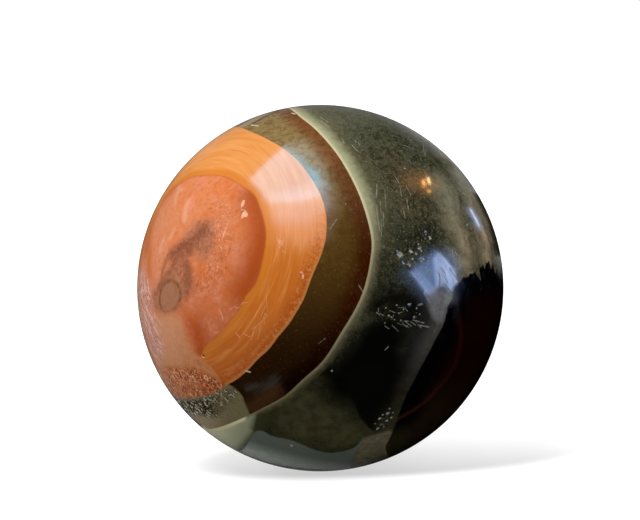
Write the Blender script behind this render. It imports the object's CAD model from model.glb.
# %% [markdown]
# # A polished ball of banded jasper
#
# The object is one piece of stone, ground to a true sphere and polished until it
# mirrors the window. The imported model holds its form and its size. What is made here is
# everything that the eye reads as stone: the bands, the clouds between them, the pits
# that the polish opened, the fine scratches, and the gloss over all of it.
#
# The box that it fills is kept, because the finished ball must fill the same box.

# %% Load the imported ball
import math

import bpy
import numpy as np
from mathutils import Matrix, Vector, noise


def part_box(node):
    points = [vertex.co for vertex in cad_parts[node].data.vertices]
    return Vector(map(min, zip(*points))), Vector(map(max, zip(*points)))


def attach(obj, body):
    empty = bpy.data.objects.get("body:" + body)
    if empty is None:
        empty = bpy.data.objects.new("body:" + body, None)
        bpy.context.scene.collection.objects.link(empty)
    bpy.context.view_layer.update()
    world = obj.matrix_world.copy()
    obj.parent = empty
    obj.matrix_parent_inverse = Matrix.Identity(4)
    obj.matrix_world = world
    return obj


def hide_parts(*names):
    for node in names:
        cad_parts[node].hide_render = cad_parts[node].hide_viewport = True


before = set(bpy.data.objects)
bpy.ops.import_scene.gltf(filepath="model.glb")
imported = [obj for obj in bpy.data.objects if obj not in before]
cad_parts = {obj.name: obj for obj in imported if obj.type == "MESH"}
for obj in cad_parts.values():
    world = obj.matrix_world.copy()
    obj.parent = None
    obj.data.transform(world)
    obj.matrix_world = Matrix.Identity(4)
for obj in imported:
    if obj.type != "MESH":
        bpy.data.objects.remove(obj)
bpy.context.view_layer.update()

low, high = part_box("ball")
BALL_RADIUS = (high.z - low.z) / 2
MM = 0.001
RADIUS_MM = BALL_RADIUS / MM
print(f"the packed ball is {2 * RADIUS_MM:.2f} mm across, with its centre at the origin")

# %% [markdown]
# # Where the camera stands
#
# The camera comes first, because the bands are drawn the way a stencil is: each edge is
# a short list of points as they are seen from here, and each point is thrown onto the
# ball along the camera's own line of sight. A long lens a little above the ball shows
# it almost without perspective.
#
# The ball sits low in the frame. The lens isn't shifted for that. The camera is tipped
# up by the same angle, so it still works when it is moved round the ball.

# %% Camera
PICTURE_WIDTH, PICTURE_HEIGHT = 640, 520
BALL_SEEN_AT = (320.3, 287.9)
BALL_SEEN_RADIUS = 183.3
CAMERA_DISTANCE = 0.45
CAMERA_LIFT = math.radians(12)
SENSOR_MM = 36
NEAREST_SEEN, FARTHEST_SEEN = 0.02, 20

focal_points = BALL_SEEN_RADIUS / math.tan(math.asin(BALL_RADIUS / CAMERA_DISTANCE))
tip_up = math.atan((BALL_SEEN_AT[1] - PICTURE_HEIGHT / 2) / focal_points)
swing_left = math.atan((BALL_SEEN_AT[0] - PICTURE_WIDTH / 2) / focal_points)
camera_place = CAMERA_DISTANCE * Vector((0, -math.cos(CAMERA_LIFT), math.sin(CAMERA_LIFT)))
camera_turn = (math.radians(90) - CAMERA_LIFT + tip_up, 0, swing_left)

bpy.ops.object.select_all(action="DESELECT")
bpy.ops.object.camera_add(location=camera_place, rotation=camera_turn)
camera = bpy.context.object
camera.name = "camera"
camera.data.sensor_width = SENSOR_MM
camera.data.lens = focal_points * SENSOR_MM / PICTURE_WIDTH
camera.data.clip_start, camera.data.clip_end = NEAREST_SEEN, FARTHEST_SEEN
bpy.context.scene.camera = camera
bpy.context.view_layer.update()
print(f"lens {camera.data.lens:.1f} mm, camera {CAMERA_DISTANCE} m from the ball")

# %% [markdown]
# A point of the picture becomes a direction from the ball's centre: a line goes from
# the camera through the point, and where it meets the sphere is the place on the stone.
# A point just off the ball's edge is pulled to the edge.

# %% From the picture to the ball
eye = np.array(camera.matrix_world.translation)
camera_axes = np.array(camera.matrix_world.to_3x3())


def unit(vectors):
    return vectors / np.linalg.norm(vectors, axis=-1, keepdims=True)


def on_ball(points):
    """Directions from the ball's centre to the places seen at these picture points."""
    x, y = np.array(points, float).reshape(-1, 2).T
    flat = np.stack([x - PICTURE_WIDTH / 2, PICTURE_HEIGHT / 2 - y, np.full(len(x), -focal_points)])
    rays = unit((camera_axes @ flat).T)
    foot = -(rays @ eye)
    half_chord_squared = BALL_RADIUS ** 2 - (eye @ eye - foot ** 2)
    depth = foot - np.sqrt(np.maximum(half_chord_squared, 0))
    return unit(eye + rays * depth[:, None])


print("the picture's middle shows", on_ball([(320, 260)]).round(3))

# %% [markdown]
# # Edges of the bands
#
# An agate or jasper grows in shells round a nucleus, and the ball's surface cuts those
# shells in rings. There are two such eyes here: a banded orange one on the left, and a
# dark one low on the right. Each ring is close to a circle round its eye, so its edge is
# kept as an angle from the eye's axis for every bearing round it. Where the ring is seen
# it follows the listed points, and behind the ball it closes with the plain circle.
#
# Every edge ends up as one number for each place on the ball: how many millimetres the
# place lies inside the edge. A material can then draw the edge sharp or soft, or lay a
# pale line beside it, all from the same number.

# %% Rings round an eye
CLOSING_GAP = 0.45
CLOSING_STEP = 0.15


def direction(turn, lift):
    """A place on the ball: degrees from the front to the right, and degrees above level."""
    turn, lift = math.radians(turn), math.radians(lift)
    return np.array([math.sin(turn) * math.cos(lift), -math.cos(turn) * math.cos(lift), math.sin(lift)])


def round_an_eye(where, axis):
    """Bearing round an eye's axis and angle from it, in radians, for each direction."""
    side = unit(np.cross((0, 0, 1), axis))
    top = np.cross(axis, side)
    return np.arctan2(where @ side, where @ top), np.arccos(np.clip(where @ axis, -1, 1))


def rounded(line, steps=5):
    """The same line with a smooth curve through its points."""
    ends = np.vstack([2 * line[0] - line[1], line, 2 * line[-1] - line[-2]])
    t = np.linspace(0, 1, steps, endpoint=False)[:, None]
    parts = []
    for a, b, c, d in zip(ends, ends[1:], ends[2:], ends[3:]):
        parts.append(b + t * (c - a) / 2 + t ** 2 * (a - 2.5 * b + 2 * c - d / 2)
                     + t ** 3 * (1.5 * (b - c) + (d - a) / 2))
    return unit(np.vstack([*parts, line[-1:]]))


def ring(turn, lift, half_angle, line):
    """Says for any directions how many millimetres they lie inside a ring's edge."""
    axis = direction(turn, lift)
    bearing, reach = round_an_eye(line, axis)
    order = np.argsort(bearing)
    bearing, reach = bearing[order], reach[order]
    gaps = np.diff(np.append(bearing, bearing[0] + 2 * math.pi))
    widest = int(np.argmax(gaps))
    closing = np.arange(CLOSING_GAP, gaps[widest] - CLOSING_GAP, CLOSING_STEP) + bearing[widest]
    bearing = np.append(bearing, (closing + math.pi) % (2 * math.pi) - math.pi)
    reach = np.append(reach, np.full(len(closing), math.radians(half_angle)))
    order = np.argsort(bearing)
    bearing, reach = bearing[order], reach[order]

    def inside(where):
        at, angle = round_an_eye(where, axis)
        return (np.interp(at, bearing, reach, period=2 * math.pi) - angle) * RADIUS_MM

    return inside


print(f"a ring is closed behind the ball every {math.degrees(CLOSING_STEP):.0f} degrees of bearing")

# %% [markdown]
# Clouds, wedges and scratches are no rings. A patch is a closed line on the ball, and a
# stroke is an open line with a width, as a brush would leave it. Both give the same kind
# of number as a ring does.

# %% Patches and strokes
LEAST_AHEAD = 0.05


def from_line(where, line):
    """Millimetres over the ball from each direction to the nearest place on a line."""
    nearest = np.full(len(where), np.inf)
    for a, b in zip(line, line[1:] if len(line) > 1 else line):
        along = b - a
        share = np.clip((where - a) @ along / max(along @ along, 1e-12), 0, 1)
        foot = unit(a + share[:, None] * along)
        nearest = np.minimum(nearest, np.linalg.norm(where - foot, axis=1))
    return nearest * RADIUS_MM


def patch(points, smooth=True):
    """Says how many millimetres directions lie inside a closed line of picture points."""
    line = on_ball([*points, points[0]])
    line = rounded(line) if smooth else line
    middle = unit(line.mean(0))
    side = unit(np.cross((0, 0, 1), middle))
    plane = np.stack([side, np.cross(middle, side)], 1)
    corners = line @ plane / (line @ middle)[:, None]

    def inside(where):
        ahead = where @ middle
        spot = where @ plane / np.maximum(ahead, LEAST_AHEAD)[:, None]
        odd = np.zeros(len(where), bool)
        for (ax, ay), (bx, by) in zip(corners, corners[1:]):
            if ay != by:
                crosses = (ay > spot[:, 1]) != (by > spot[:, 1])
                odd ^= crosses & (spot[:, 0] < (bx - ax) * (spot[:, 1] - ay) / (by - ay) + ax)
        distance = from_line(where, line)
        return np.where(odd & (ahead > LEAST_AHEAD), distance, -distance)

    return inside


def strokes(*lines):
    """Says how far inside the nearest brush stroke: each is a width in mm and its points."""
    drawn = []
    for width, points in lines:
        line = on_ball(points)
        drawn.append((width, rounded(line) if len(line) > 2 else line))

    def inside(where):
        return np.max([width / 2 - from_line(where, line) for width, line in drawn], axis=0)

    return inside


def joined(*fields):
    """Inside any of these fields."""
    return lambda where: np.max([inside(where) for inside in fields], axis=0)


print("rings, patches and strokes all answer in millimetres")

# %% [markdown]
# The banded eye has three rings. From the middle out they are the edge of the salmon
# core, the edge of the ochre ring, and the edge of the brown ring, where the pale line
# runs. The ochre ring runs on behind the ball's lower left edge, past three places given
# as turn and lift. The dark eye has one edge, and at its top the black stone stands up in
# splinters, so that stretch keeps its corners and isn't rounded.

# %% The four great edges
CORE_SEEN = [(158, 211), (168, 193), (178.5, 184), (192, 176.5), (206, 175), (225, 176), (240, 184),
             (254, 194.5), (260.5, 208.5), (265, 225), (266, 240), (262.5, 262), (256, 283), (246, 296),
             (240, 309), (230, 322), (218, 336), (206, 346), (201, 356)]
OCHRE_SEEN = [(232, 127.5), (248, 130.5), (265, 138), (284, 149), (297, 160), (309, 175), (321, 196),
              (326, 216), (326, 236), (321.5, 254), (313.5, 273), (309, 285), (303.5, 299.5),
              (293.5, 317), (287, 326.5), (278, 337), (269, 349), (258, 359), (248, 370), (236.5, 379.5),
              (226, 385.5), (218, 391.5), (211, 394.5), (197, 397), (184, 398), (175, 397)]
OCHRE_BEHIND = [(-81, -30), (-92, -18), (-98, -3)]
BANDED_EYE = (-50, 20)
DARK_EYE = (67.6, -23.8)
BROWN_SEEN = [(289, 108.5), (299.5, 116.5), (320, 134), (340.5, 159.5), (357, 190), (365.5, 213),
              (371.5, 240), (370, 262), (364.5, 287), (355.5, 308.5), (342, 331), (323, 360.5),
              (302.5, 379.5), (285, 395.5), (261.5, 408.5), (241.5, 418.5), (224.5, 425.5), (208, 429)]
SPLINTERS_SEEN = [(501, 268), (499, 277), (497, 267), (495, 274), (493, 263), (491, 270), (489, 261),
                  (486, 262), (485, 270), (483, 265), (481, 280), (479, 269), (477, 276), (475, 271),
                  (473, 275), (470, 273), (467, 277), (463, 276)]
DARK_SEEN = [(459.5, 280.5), (455, 286), (452, 297), (447, 310.5), (442.5, 326), (434.5, 341),
             (430, 350), (421.5, 365.5), (413, 382.5), (405.5, 396.5), (399, 413.5), (394, 427.5),
             (388, 441), (385, 448), (388, 456)]

dark_line = np.vstack([on_ball(SPLINTERS_SEEN), rounded(on_ball(DARK_SEEN))])
ochre_line = np.vstack([on_ball(OCHRE_SEEN), [direction(*place) for place in OCHRE_BEHIND]])
FIELDS = {
    "core": ring(-49.7, 17.8, 28.9, rounded(on_ball(CORE_SEEN))),
    "ochre": ring(-51.9, 20.4, 46.3, rounded(ochre_line)),
    "brown": ring(-49.9, 20.6, 58.4, rounded(on_ball(BROWN_SEEN))),
    "dark": ring(*DARK_EYE, 36.45, dark_line),
}
print("edges:", ", ".join(FIELDS))

# %% [markdown]
# Inside the rings the stone is clouded. The lower end of the orange eye runs out through
# a clear lens into a belt of open pits, the brown ring ends in an ash grey patch, and the
# green ground under it holds a pale wedge and a blue-grey veil. A shape with an edge of
# its own is a patch, and a cloud that only runs along the bands is a broad stroke.

# %% Clouds and wedges
FIELDS["lens"] = patch(
    [(148, 324), (160, 316), (172, 314), (181, 318), (184, 328), (188, 338), (192, 346), (196, 354),
     (201, 359), (206, 363), (213, 369), (223, 384), (224, 388), (214, 379), (204, 373), (190, 369),
     (172, 368), (160, 369), (152, 352)])
FIELDS["ash"] = patch(
    [(221, 382), (227, 385), (234, 389), (240, 395), (243, 402), (246, 409), (249, 416), (252, 422),
     (240, 428), (215, 440), (198, 432), (186, 422), (176, 410), (166, 398), (190, 388)])
FIELDS["wedge"] = patch(
    [(200, 420), (232, 412), (258, 404), (257, 414), (255, 425), (252, 437), (245, 447), (239, 452),
     (222, 446), (204, 434)])
FIELDS["fold"] = strokes(
    (2.6, [(263, 406), (261, 418), (257, 430)]), (1.5, [(257, 430), (250, 440), (240, 451)]))
FIELDS["cream"] = strokes((2.0, [(196, 430), (210, 429), (222, 427), (234, 422), (242, 418)]))
FIELDS["veil"] = patch(
    [(238, 453), (246, 446), (254, 433), (262, 431), (272, 436), (290, 440), (303, 445), (315, 450),
     (330, 453), (345, 451), (355, 447), (364, 438), (361, 446), (353, 458), (346, 472), (320, 473),
     (290, 471), (262, 464)])
FIELDS["foot"] = patch(
    [(364, 438), (378, 434), (392, 431), (394, 446), (387, 460), (366, 467), (346, 472), (353, 458)])
FIELDS["blob"] = patch(
    [(346, 372), (350, 390), (354, 402), (358, 412), (363, 421), (370, 429), (378, 432), (386, 430),
     (392, 422), (394, 410), (392, 392), (386, 374), (366, 362)])
FIELDS["glass"] = patch(
    [(161, 291), (165, 284), (171, 281), (177, 285), (180, 292), (179, 301), (174, 309), (165, 312),
     (160, 303)])
FIELDS["smoke"] = joined(
    patch([(194, 224), (204, 219), (213, 222), (216, 235), (213, 248), (206, 257), (196, 256), (186, 254),
           (174, 260), (168, 258), (174, 249), (182, 240), (188, 231)]),
    patch([(178, 260), (186, 259), (190, 268), (191, 284), (188, 296), (181, 303), (174, 311),
           (163, 315), (154, 309), (151, 297), (155, 286), (163, 279), (170, 268)]))
FIELDS["wisps"] = strokes(
    (2.0, [(204, 230), (194, 240), (182, 247), (172, 253)]), (1.0, [(170, 252), (165, 263), (162, 276)]),
    (1.6, [(190, 251), (182, 256), (174, 260)]), (1.0, [(176, 262), (168, 273), (160, 286)]),
    (1.6, [(186, 264), (189, 276), (187, 290)]))
FIELDS["grain"] = patch(
    [(208, 203), (221, 200), (232, 211), (234, 235), (231, 263), (222, 278), (208, 290), (196, 296),
     (192, 284), (203, 268), (212, 250), (213, 226)])
FIELDS["rust"] = strokes(
    (5.4, [(254, 196), (262, 220), (261, 245), (254, 270), (244, 292)]),
    (3.6, [(196, 330), (200, 346), (200, 354)]))
FIELDS["rim"] = strokes(
    (3.8, [(176, 184), (160, 204), (151, 226), (147, 248)]), (1.6, [(150, 250), (149, 276)]))
FIELDS["frost"] = patch(
    [(136, 270), (144, 274), (150, 290), (152, 308), (158, 328), (163, 350), (156, 358), (146, 340),
     (138, 312)])
FIELDS["ember"] = strokes((3.0, [(250, 408), (262, 401), (275, 392)]))
FIELDS["pale"] = strokes(
    (0.9, [(188, 202), (185, 210), (185, 220)]), (0.5, [(179, 189), (176, 196), (175, 202)]),
    (0.4, [(174, 230), (170, 238)]), (0.4, [(164, 238), (160, 250)]), (0.5, [(182, 190), (178, 187)]))
FIELDS["dusk"] = strokes(
    (7.0, [(386, 236), (400, 240), (416, 244), (428, 238)]), (6.0, [(386, 262), (402, 276), (412, 292)]))
FIELDS["night"] = strokes(
    (5.0, [(380, 304), (397, 299), (410, 308), (404, 324), (384, 322)]), (5.0, [(380, 310), (394, 312)]),
    (10.0, [(384, 338), (368, 356), (358, 372), (346, 382)]),
    (10.0, [(380, 356), (384, 376), (372, 398)]),
    (5.0, [(330, 372), (340, 380)]))
FIELDS["olive"] = strokes((9.0, [(300, 425), (330, 420), (345, 436)]), (6.0, [(296, 408), (310, 396)]))
FIELDS["shoulder"] = strokes(
    (8.0, [(428, 128), (446, 150), (462, 180), (478, 215), (486, 250)]),
    (6.5, [(446, 190), (457, 225), (466, 258)]))
FIELDS["slate"] = strokes((6.5, [(428, 300), (418, 340), (404, 375)]))
FIELDS["clay"] = patch(
    [(425, 293), (436, 288), (446, 293), (452, 297), (446, 310), (442, 322), (432, 316)])
FIELDS["hem"] = strokes(
    (2.2, [(448, 298), (440, 322), (426, 348), (410, 376), (398, 402), (390, 428), (382, 446)]))
FIELDS["mist"] = strokes((8.0, [(386, 172), (400, 182), (416, 198), (428, 214)]))
FIELDS["brim"] = strokes((2.6, [(244, 125), (254, 119.5), (264, 114.5), (275, 110), (286, 106.5)]))
FIELDS["underline"] = strokes((1.8, [(240, 453), (252, 457.5), (268, 463), (290, 467.5), (318, 470)]))
FIELDS["gauze"] = strokes((1.8, [(249, 388), (260, 387), (276, 380)]))
FIELDS["scuffed"] = joined(
    patch([(383, 302), (410, 300), (424, 304), (430, 328), (410, 332), (388, 330)]),
    patch([(376, 118), (400, 124), (420, 140), (412, 150), (392, 144), (376, 134)]))
print(len(FIELDS), "fields describe the colours")

# %% [markdown]
# Some marks are thin: the crack over the brown ring, the red-brown line in the dark eye,
# chips that show pale stone, and scratches. Scratches come singly, in pairs and in tufts
# where the ball was set down hard. A tuft is a bundle of short lines drawn between two
# places, each strayed a little from the last, so that no two are alike.

# %% Thin marks
WEAR_SEED = 27
TUFT_LENGTHS = (0.12, 0.3)
TUFT_WIDTHS = (0.07, 0.16)
rng = np.random.default_rng(WEAR_SEED)


def tuft(start, end, count, stray, turn=0.3):
    """Short lines between two picture points, strayed sideways and turned at random."""
    start, end = np.array(start, float), np.array(end, float)
    lines = []
    for _ in range(count):
        middle = start + rng.random() * (end - start) + rng.normal(0, stray, 2)
        half = (end - start) * rng.uniform(*TUFT_LENGTHS)
        angle = rng.normal(0, turn)
        half = np.array([half[0] * math.cos(angle) - half[1] * math.sin(angle),
                         half[0] * math.sin(angle) + half[1] * math.cos(angle)])
        lines.append((rng.uniform(*TUFT_WIDTHS), [middle - half, middle + half]))
    return lines


FIELDS["crack"] = strokes((0.55, [(250, 125.5), (260, 119.5), (269, 115), (280, 110.5), (288, 108)]))
FIELDS["vein"] = strokes(
    (0.6, [(459, 318), (461, 338), (457, 358), (448, 376), (438, 388), (428, 399), (415, 409),
           (397, 419)]))
FIELDS["chips"] = joined(
    patch([(243, 200), (245, 200), (244, 205), (241, 208), (241, 204)], smooth=False),
    patch([(241, 209), (245, 210), (248, 214), (247, 217), (244, 217), (241, 219), (242, 213)],
          smooth=False),
    strokes((0.28, [(301, 272), (303, 275), (303, 278)]), (0.3, [(251, 125), (258, 126)]),
            (0.35, [(292, 113), (295, 114)]), (0.3, [(246, 371), (250, 372)])))
FIELDS["scratch"] = strokes(
    (0.14, [(320, 117), (328, 122)]), (0.12, [(321, 121), (329, 127)]), (0.12, [(352, 145), (357, 151)]),
    (0.12, [(337, 219), (330, 229)]), (0.16, [(219, 309), (222, 315), (223, 321)]),
    (0.16, [(244, 334), (250, 337)]), (0.14, [(236, 333), (240, 338)]), (0.12, [(318, 344), (326, 338)]),
    (0.18, [(424, 293), (430, 303)]), (0.20, [(385, 350), (389, 346)]), (0.13, [(433, 136), (428, 146)]),
    (0.14, [(392, 325), (398, 331)]), (0.18, [(413, 320), (424, 323)]), (0.20, [(418, 325), (429, 327)]),
    (0.14, [(394, 175), (399, 183)]), (0.14, [(358, 284), (363, 292)]), (0.13, [(279, 248), (284, 238)]),
    (0.30, [(222, 239), (225, 231)]), (0.16, [(219, 245), (222, 249)]), (0.22, [(452, 249), (453, 253)]),
    (0.20, [(455, 252), (457, 255)]), (0.22, [(439, 287), (440, 280), (439, 273)]),
    (0.3, [(418, 305), (422, 304)]),
    *tuft((255, 333), (265, 306), 9, 4.0), *tuft((233, 308), (246, 304), 4, 2.0),
    *tuft((378, 186), (384, 228), 6, 3.0, 0.1), *tuft((352, 142), (360, 152), 4, 4.0),
    *tuft((425, 140), (431, 152), 6, 5.0), *tuft((392, 128), (412, 146), 5, 6.0),
    *tuft((396, 180), (400, 208), 4, 6.0, 0.2), *tuft((142, 300), (154, 336), 11, 3.0, 0.15),
    *tuft((275, 236), (286, 246), 5, 3.0), *tuft((440, 262), (452, 284), 5, 2.5, 0.1),
    *tuft((387, 308), (394, 318), 9, 6.0, 0.9), *tuft((406, 316), (420, 324), 6, 4.0, 0.3))
print(len(FIELDS), "fields with the thin marks")

# %% [markdown]
# # Pits in the polish
#
# Where the stone was porous, grinding opened its bubbles, and the polish has left them
# as sharp little pits. They crowd in the belt under the orange eye, stand in small groups
# on the green, and turn up singly elsewhere. Each is a place, a width and a depth, so that
# the same list can say where the mesh must be finer, how far the surface goes in, and
# where the material is raw stone and not polish.

# %% Where the pits are
PIT_DEPTH_SHARE = 0.32
pits = []


def add_pits(points, widths, lots):
    """A pit at each picture point: its place, width, depth and lot, 0 dark inside to 1 pale."""
    for at, width, lot in zip(on_ball(points), widths, np.broadcast_to(lots, len(widths))):
        pits.append((at, width, width * PIT_DEPTH_SHARE, lot))


def scatter_pits(inside, corner, size, count, narrowest, widest, pale_share=0.5):
    """Random pits over the part of a picture rectangle that lies inside a field."""
    tries = corner + rng.random((count * 8, 2)) * size
    tries = tries[inside(on_ball(tries)) > 0][:count]
    widths = narrowest + (widest - narrowest) * rng.random(len(tries)) ** 2
    add_pits(tries, widths, (rng.random(len(tries)) < pale_share) * 1.0)


GREEN_VUGS = [(401, 254), (411.6, 251), (416.5, 253.5), (418.6, 244), (418.6, 248.5), (422, 251),
              (413, 258.5), (422, 261.5), (404, 263), (408, 264.5), (426.3, 234), (425.6, 238.5),
              (431, 238.5)]
LOW_VUGS = [(388, 414), (380, 419), (391.5, 418), (387, 421), (378, 429), (377, 439), (384, 427),
            (390, 409), (383, 415), (393, 413), (381, 425), (375, 424)]
SCUFFS = [(389, 315.5), (404, 309), (414.5, 317), (401, 320.5), (391.5, 317), (394.7, 319.7),
          (386, 308), (397, 305), (409, 304), (417, 308), (399, 313), (385, 323), (407, 326), (420, 314)]
LONE_PITS = [(293, 446), (463, 193), (332, 371), (203, 356), (243, 212), (302, 275), (416, 133),
             (425, 166), (405, 168), (166, 368), (216, 416), (221.5, 416.5), (468, 224), (213, 415.5)]
CHARRED_RINGS = [(186.5, 403.5), (205, 399), (206, 405), (192, 403), (196, 408), (198, 400)]
add_pits(GREEN_VUGS, [1.5, 0.9, 0.7, 0.4, 0.35, 0.4, 0.55, 0.5, 0.5, 0.35, 0.45, 0.4, 0.4], 1)
add_pits(LOW_VUGS, [0.95, 0.8, 0.7, 0.8, 0.8, 0.45, 0.55, 0.5, 0.45, 0.5, 0.4, 0.45], 1)
add_pits(SCUFFS, [0.45, 0.45, 0.5, 0.4, 0.35, 0.35, 0.4, 0.35, 0.3, 0.4, 0.3, 0.35, 0.3, 0.35], 1)
add_pits(LONE_PITS, [0.45, 0.8, 0.5, 0.8, 0.9, 0.5, 0.4, 0.45, 0.4, 0.6, 0.6, 0.75, 0.5, 0.7],
         [1, 1, 1, 0, 1, 1, 1, 1, 1, 0, 1, 1, 1, 1])
add_pits(CHARRED_RINGS, [1.5, 0.85, 0.6, 0.8, 0.7, 0.6], [0, 0, 1, 0, 0, 1])

belt = patch([(148, 372), (160, 368), (176, 367), (192, 368), (206, 373), (218, 380), (226, 386),
              (214, 393), (197, 398), (182, 399), (168, 400), (154, 386)])
charred = patch([(166, 399), (190, 399), (208, 396), (224, 388), (236, 386), (236, 396), (226, 406),
                 (221, 415), (208, 417), (196, 414), (184, 411)])
FIELDS["belt"] = belt
FIELDS["charred"] = charred
scatter_pits(belt, (150, 366), (78, 33), 150, 0.28, 0.62)
scatter_pits(charred, (172, 394), (40, 24), 34, 0.50, 1.15, pale_share=0.1)
scatter_pits(charred, (200, 388), (38, 32), 26, 0.40, 0.85, pale_share=0.3)
print(len(pits), "pits, the widest", max(pit[1] for pit in pits), "mm")

# %% [markdown]
# # The ball's own mesh
#
# A ball could start as a globe with poles, but its faces crowd at the poles and pinch the
# gloss there. An icosphere has even triangles all over. It is cut finer only where
# something small has to be shown: along the edges of the bands, and round each pit.
#
# Subdividing leaves the new points on the flat faces. The Cast modifier pushes all points
# back onto the true sphere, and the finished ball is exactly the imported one.

# %% A sphere that is fine where it has to be
ICOSPHERE_LEVEL = 7
CUTTING_ROUNDS = 3
TOO_LONG = 1.3
EDGE_NEAR_BAND, BAND_REACH = 0.34, 0.45
EDGE_NEAR_SPLINTER, SPLINTER_REACH = 0.17, 0.7
EDGE_NEAR_MARK, MARK_REACH = 0.12, 0.16
EDGE_NEAR_PIT, PIT_MARGIN = 0.10, 0.15
SHARP_EDGES = ("core", "ochre", "brown", "dark", "lens", "ash", "wedge", "veil", "blob", "glass")
THIN_MARKS = ("crack", "chips", "scratch")
splinters = on_ball(SPLINTERS_SEEN)

bpy.ops.object.select_all(action="DESELECT")
bpy.ops.mesh.primitive_ico_sphere_add(subdivisions=ICOSPHERE_LEVEL, radius=BALL_RADIUS)
ball = bpy.context.object
ball.name = "jasper_ball"
ball.data.name = "jasper_ball"


def read(elements, name, width):
    values = np.empty(len(elements) * width)
    elements.foreach_get(name, values)
    return values.reshape(-1, width) if width > 1 else values


def wanted_edge(where):
    """The longest edge in mm that the mesh may have at each place."""
    wanted = np.full(len(where), np.inf)
    for name in SHARP_EDGES:
        wanted[np.abs(FIELDS[name](where)) < BAND_REACH] = EDGE_NEAR_BAND
    wanted[from_line(where, splinters) < SPLINTER_REACH] = EDGE_NEAR_SPLINTER
    for name in THIN_MARKS:
        wanted[FIELDS[name](where) > -MARK_REACH] = EDGE_NEAR_MARK
    for at, width, *_ in pits:
        near = where @ at > math.cos((width / 2 + PIT_MARGIN) / RADIUS_MM)
        wanted[near] = EDGE_NEAR_PIT
    return wanted


bpy.ops.object.mode_set(mode="EDIT")
bpy.ops.mesh.select_mode(type="FACE")
for _ in range(CUTTING_ROUNDS):
    bpy.ops.mesh.select_all(action="DESELECT")
    bpy.ops.object.mode_set(mode="OBJECT")
    faces = ball.data.polygons
    edge = np.sqrt(read(faces, "area", 1) * 4 / math.sqrt(3)) / MM
    faces.foreach_set("select", edge > TOO_LONG * wanted_edge(unit(read(faces, "center", 3))))
    bpy.ops.object.mode_set(mode="EDIT")
    bpy.ops.mesh.subdivide(number_cuts=1)
bpy.ops.object.mode_set(mode="OBJECT")

cast = ball.modifiers.new("back onto the sphere", "CAST")
cast.factor, cast.size = 1, BALL_RADIUS
cast.use_radius_as_size = False
bpy.ops.object.modifier_apply(modifier=cast.name)
reach = np.linalg.norm(read(ball.data.vertices, "co", 3), axis=1)
triangles = sum(len(face.vertices) - 2 for face in ball.data.polygons)
print(f"{len(ball.data.vertices)} points, {triangles} triangles,",
      f"radius {reach.min() / MM:.4f} to {reach.max() / MM:.4f} mm")

# %% [markdown]
# A pit is pressed in the way a weight-painted dent is. A vertex group says how deep each
# point lies, and the Displace modifier pushes the points inward by that share. A little
# noise in each pit's radius keeps it from looking drilled.

# %% Press the pits into the surface
DEEPEST_MM = max(depth for _, _, depth, _ in pits)
LEAST_MM = 0.001
PIT_REACH = 0.75
RIM_START, RIM_END = 0.55, 1.0
RAGGED = 0.35
RAGGED_PER_MM = 1.7

where = unit(read(ball.data.vertices, "co", 3))
depths = np.zeros(len(where))
for at, width, depth, _ in pits:
    near = np.flatnonzero(where @ at > math.cos(PIT_REACH * width / RADIUS_MM))
    gap = np.linalg.norm(where[near] - at, axis=1) * RADIUS_MM
    wobble = [noise.noise(Vector(place) * RADIUS_MM * RAGGED_PER_MM) for place in where[near]]
    across = gap / (width / 2) * (1 + RAGGED * np.array(wobble))
    share = np.clip((RIM_END - across) / (RIM_END - RIM_START), 0, 1)
    depths[near] = np.maximum(depths[near], depth * share ** 2 * (3 - 2 * share))

pitted = ball.vertex_groups.new(name="pitted")
for index in np.flatnonzero(depths > LEAST_MM):
    pitted.add([int(index)], depths[index] / DEEPEST_MM, "REPLACE")
press = ball.modifiers.new("press the pits in", "DISPLACE")
press.vertex_group = pitted.name
press.mid_level = 0
press.strength = -DEEPEST_MM * MM
bpy.ops.object.modifier_apply(modifier=press.name)
bpy.ops.object.shade_smooth()
reach = np.linalg.norm(read(ball.data.vertices, "co", 3), axis=1)
print(f"{int((depths > LEAST_MM).sum())} points pressed in,",
      f"the deepest {(BALL_RADIUS - reach.min()) / MM:.2f} mm")

# %% [markdown]
# The fields are stored on the mesh as attributes, one number per point, and the material
# reads them by name. Pits get two of their own: how deep a place lies, from 0 on the
# polish to 1 at a pit's floor, and the pit's lot, which says if it is dark or pale inside.
# The two eyes get a vector each, made of the bearing round the eye and the distance from
# its middle, so that a pattern can run along the rings or outwards from the eye.

# %% Store the fields on the mesh
def store(name, values):
    layer = ball.data.attributes.new(name, "FLOAT", "POINT")
    layer.data.foreach_set("value", values.astype(np.float32))


for name, inside in FIELDS.items():
    store(name, inside(where))
deepest_here = np.full(len(where), 1e-6)
lots = np.zeros(len(where))
for at, width, depth, lot in pits:
    near = (where @ at > math.cos(PIT_REACH * width / RADIUS_MM)) & (depth > deepest_here)
    deepest_here[near] = depth
    lots[near] = lot
store("pit", np.clip(depths / deepest_here, 0, 1))
store("pit_lot", lots)

for name, middle in (("banded_eye", BANDED_EYE), ("dark_eye", DARK_EYE)):
    bearing, angle = round_an_eye(where, direction(*middle))
    layer = ball.data.attributes.new(name, "FLOAT_VECTOR", "POINT")
    spokes = np.stack([np.cos(bearing), np.sin(bearing), angle * RADIUS_MM], 1)
    layer.data.foreach_set("vector", spokes.astype(np.float32).ravel())
print(len(ball.data.attributes), "attributes on the ball")

# %% [markdown]
# The ball sits on the model's one body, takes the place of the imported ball, and its stone
# is known as jasper.

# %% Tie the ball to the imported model
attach(ball, "root")
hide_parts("ball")
print("the dressed ball stands for the packed one")

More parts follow.
